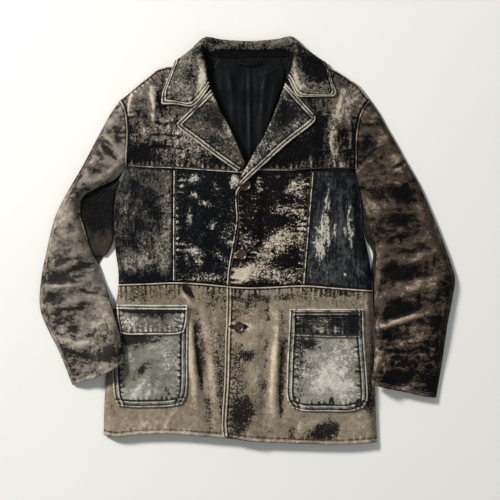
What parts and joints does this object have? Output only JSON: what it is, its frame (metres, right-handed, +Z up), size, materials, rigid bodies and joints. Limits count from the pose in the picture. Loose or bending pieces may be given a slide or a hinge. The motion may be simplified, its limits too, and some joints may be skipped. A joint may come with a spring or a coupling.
{
  "type": "worn leather coat",
  "caption": "Hip-length worn leather coat laid flat on its back: notched collar and lapels, yokes, panelled chest, flapped patch pockets, buttoned front, sleeves beside it.",
  "frame": {"origin": "centre of the coat's plan on the floor it lies on", "axes": "+X from the wearer's right side to the left, +Y from hem to collar, +Z up off the floor, out of the front"},
  "size_m": [0.8314, 0.814, 0.0419],
  "materials": {
    "worn_leather": "brown-grey leather rubbed pale and speckled dark",
    "dark_leather": "blue-black leather with pale scuffs",
    "pocket_leather": "sage-grey leather, dry and scratched",
    "lining_satin": "black satin",
    "horn_button": "dark red-brown, glossy"
  },
  "bodies": {
    "root": {"back": "worn_leather", "back_lining": "lining_satin", "hanger_loop": "lining_satin", "right_front_yoke": "worn_leather", "left_front_yoke": "worn_leather", "right_side_chest": "dark_leather", "right_centre_chest": "dark_leather", "left_centre_chest": "dark_leather", "left_side_chest": "dark_leather", "right_skirt": "worn_leather", "left_skirt": "worn_leather", "right_top_sleeve": "worn_leather", "right_under_sleeve": "dark_leather", "left_top_sleeve": "worn_leather", "left_under_sleeve": "dark_leather", "right_lapel": "worn_leather", "left_lapel": "worn_leather", "collar": "worn_leather", "right_pocket": "pocket_leather", "right_pocket_flap": "pocket_leather", "left_pocket": "pocket_leather", "left_pocket_flap": "dark_leather", "button_top": "horn_button", "button_middle": "horn_button", "button_lower": "horn_button"}
  },
  "joints": []
}
